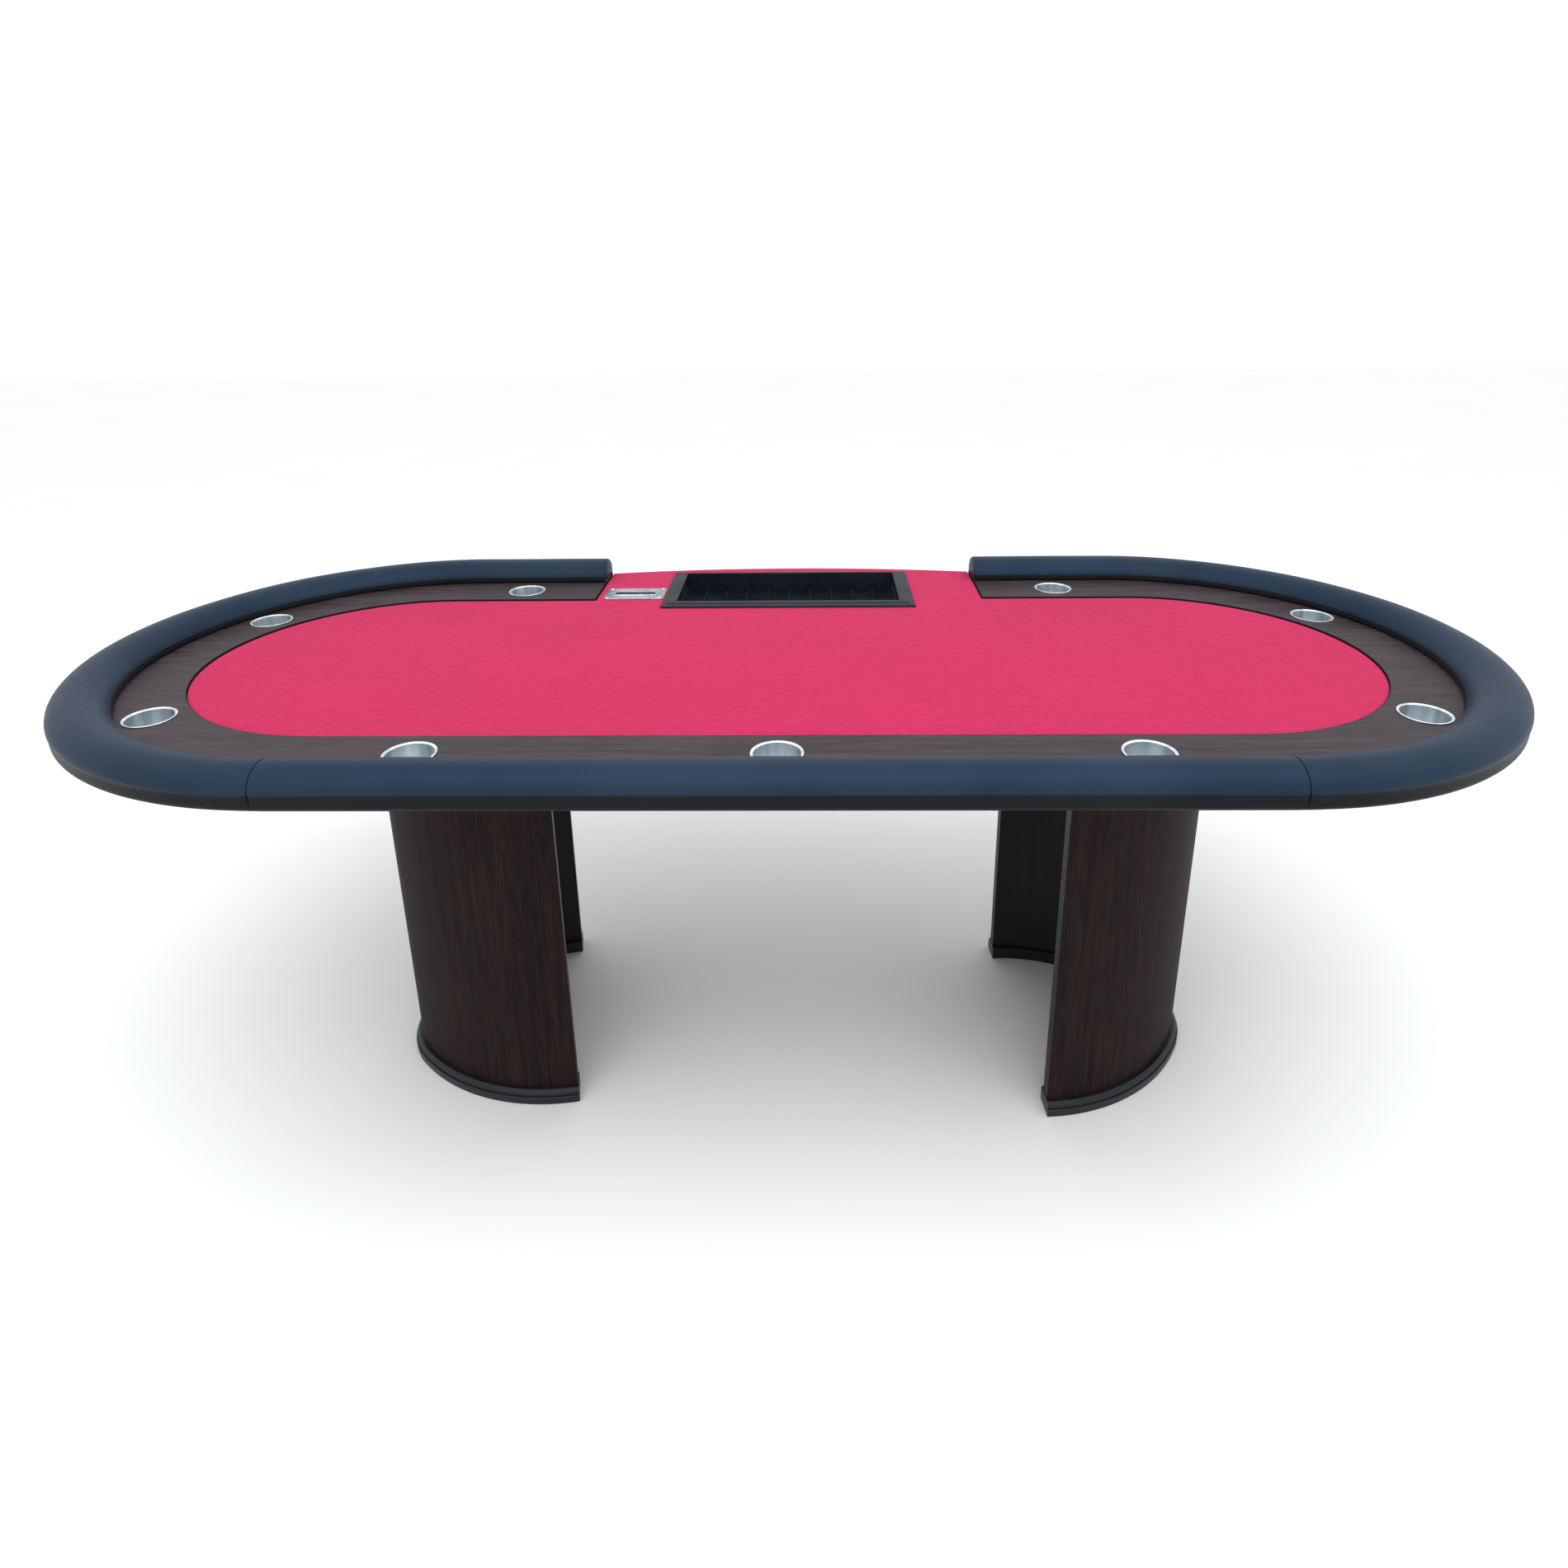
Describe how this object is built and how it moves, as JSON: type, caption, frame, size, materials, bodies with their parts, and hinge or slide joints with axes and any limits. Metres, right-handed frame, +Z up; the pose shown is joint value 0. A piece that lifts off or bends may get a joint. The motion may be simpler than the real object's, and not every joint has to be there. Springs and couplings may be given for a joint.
{
  "type": "casino card table",
  "caption": "Stadium-shaped casino card table with padded armrest, wooden racetrack, red playing field, dealer's chip tray and drop box, on two half-moon legs.",
  "frame": {"origin": "on the floor, under the middle of the table's box", "axes": "+X along the table, +Y towards the dealer's side, +Z up"},
  "size_m": [2.4398, 1.1016, 0.804],
  "materials": {
    "birch_plywood": "satin",
    "seat_foam": "matte",
    "red_felt": "matte",
    "racetrack_wood": "satin",
    "black_edge": "matte",
    "black_vinyl": "satin",
    "zinc_steel": "satin",
    "brushed_steel": "satin",
    "bright_steel": "polished",
    "tray_plastic": "matte",
    "black_sheet_steel": "matte",
    "pine": "matte",
    "black_paint": "matte",
    "leg_wood": "satin",
    "black_plinth": "satin",
    "glide_plastic": "matte"
  },
  "bodies": {
    "table": {"base_board": "birch_plywood", "playfield_foam": "seat_foam", "playfield_felt": "red_felt", "racetrack_panel": "racetrack_wood", "racetrack_trim": "black_edge", "armrest_cover_front": "black_vinyl", "armrest_cover_left": "black_vinyl", "armrest_cover_right": "black_vinyl", "armrest_foam_front": "seat_foam", "armrest_foam_left": "seat_foam", "armrest_foam_right": "seat_foam", "armrest_core_front": "birch_plywood", "armrest_core_left": "birch_plywood", "armrest_core_right": "birch_plywood", "armrest_bolts": "zinc_steel", "armrest_tee_nuts": "zinc_steel", "drop_slot_plate": "brushed_steel", "drop_slot_screws": "bright_steel", "drop_chute": "black_sheet_steel", "drop_box_rail_left": "zinc_steel", "drop_box_rail_right": "zinc_steel", "drop_box_rail_screws": "zinc_steel", "underframe_rail_front": "pine", "underframe_rail_rear": "pine", "underframe_crossbar_left": "pine", "underframe_crossbar_middle": "pine", "underframe_crossbar_right": "pine", "underframe_screws": "zinc_steel", "left_leg_panel": "black_paint", "left_leg_veneer": "leg_wood", "left_leg_edge_bands": "black_edge", "left_leg_plinth": "black_plinth", "left_leg_top_plate": "birch_plywood", "left_leg_brackets": "zinc_steel", "left_leg_screws": "zinc_steel", "left_leg_glides": "glide_plastic", "right_leg_panel": "black_paint", "right_leg_veneer": "leg_wood", "right_leg_edge_bands": "black_edge", "right_leg_plinth": "black_plinth", "right_leg_top_plate": "birch_plywood", "right_leg_brackets": "zinc_steel", "right_leg_screws": "zinc_steel", "right_leg_glides": "glide_plastic"},
    "cup_1": {"cup_holder_1": "brushed_steel"},
    "cup_2": {"cup_holder_2": "brushed_steel"},
    "cup_3": {"cup_holder_3": "brushed_steel"},
    "cup_4": {"cup_holder_4": "brushed_steel"},
    "cup_5": {"cup_holder_5": "brushed_steel"},
    "cup_6": {"cup_holder_6": "brushed_steel"},
    "cup_7": {"cup_holder_7": "brushed_steel"},
    "cup_8": {"cup_holder_8": "brushed_steel"},
    "cup_9": {"cup_holder_9": "brushed_steel"},
    "chip_tray": {"chip_tray": "tray_plastic"},
    "drop_box": {"drop_box_body": "black_sheet_steel", "drop_box_hinge_pin": "zinc_steel"},
    "drop_box_door": {"drop_box_door": "black_sheet_steel"},
    "drop_box_lock": {"drop_box_lock": "bright_steel"}
  },
  "joints": [
    {"name": "cup_1_lift", "type": "slide", "parent": "table", "child": "cup_1", "axis": [0, 0, 1], "range_m": [0, 0.075]},
    {"name": "cup_2_lift", "type": "slide", "parent": "table", "child": "cup_2", "axis": [0, 0, 1], "range_m": [0, 0.075]},
    {"name": "cup_3_lift", "type": "slide", "parent": "table", "child": "cup_3", "axis": [0, 0, 1], "range_m": [0, 0.075]},
    {"name": "cup_4_lift", "type": "slide", "parent": "table", "child": "cup_4", "axis": [0, 0, 1], "range_m": [0, 0.075]},
    {"name": "cup_5_lift", "type": "slide", "parent": "table", "child": "cup_5", "axis": [0, 0, 1], "range_m": [0, 0.075]},
    {"name": "cup_6_lift", "type": "slide", "parent": "table", "child": "cup_6", "axis": [0, 0, 1], "range_m": [0, 0.075]},
    {"name": "cup_7_lift", "type": "slide", "parent": "table", "child": "cup_7", "axis": [0, 0, 1], "range_m": [0, 0.075]},
    {"name": "cup_8_lift", "type": "slide", "parent": "table", "child": "cup_8", "axis": [0, 0, 1], "range_m": [0, 0.075]},
    {"name": "cup_9_lift", "type": "slide", "parent": "table", "child": "cup_9", "axis": [0, 0, 1], "range_m": [0, 0.075]},
    {"name": "chip_tray_lift", "type": "slide", "parent": "table", "child": "chip_tray", "axis": [0, 0, 1], "range_m": [0, 0.06]},
    {"name": "drop_box_slide", "type": "slide", "parent": "table", "child": "drop_box", "axis": [0, 1, 0], "range_m": [0, 0.16]},
    {"name": "drop_box_door_hinge", "type": "hinge", "parent": "drop_box", "child": "drop_box_door", "pos_m": [-0.332, 0.4265, 0.54], "axis": [-1, 0, 0], "range_deg": [0, 95]},
    {"name": "drop_box_lock_turn", "type": "hinge", "parent": "drop_box_door", "child": "drop_box_lock", "pos_m": [-0.332, 0.4225, 0.681], "axis": [0, -1, 0], "range_deg": [0, 90]}
  ]
}
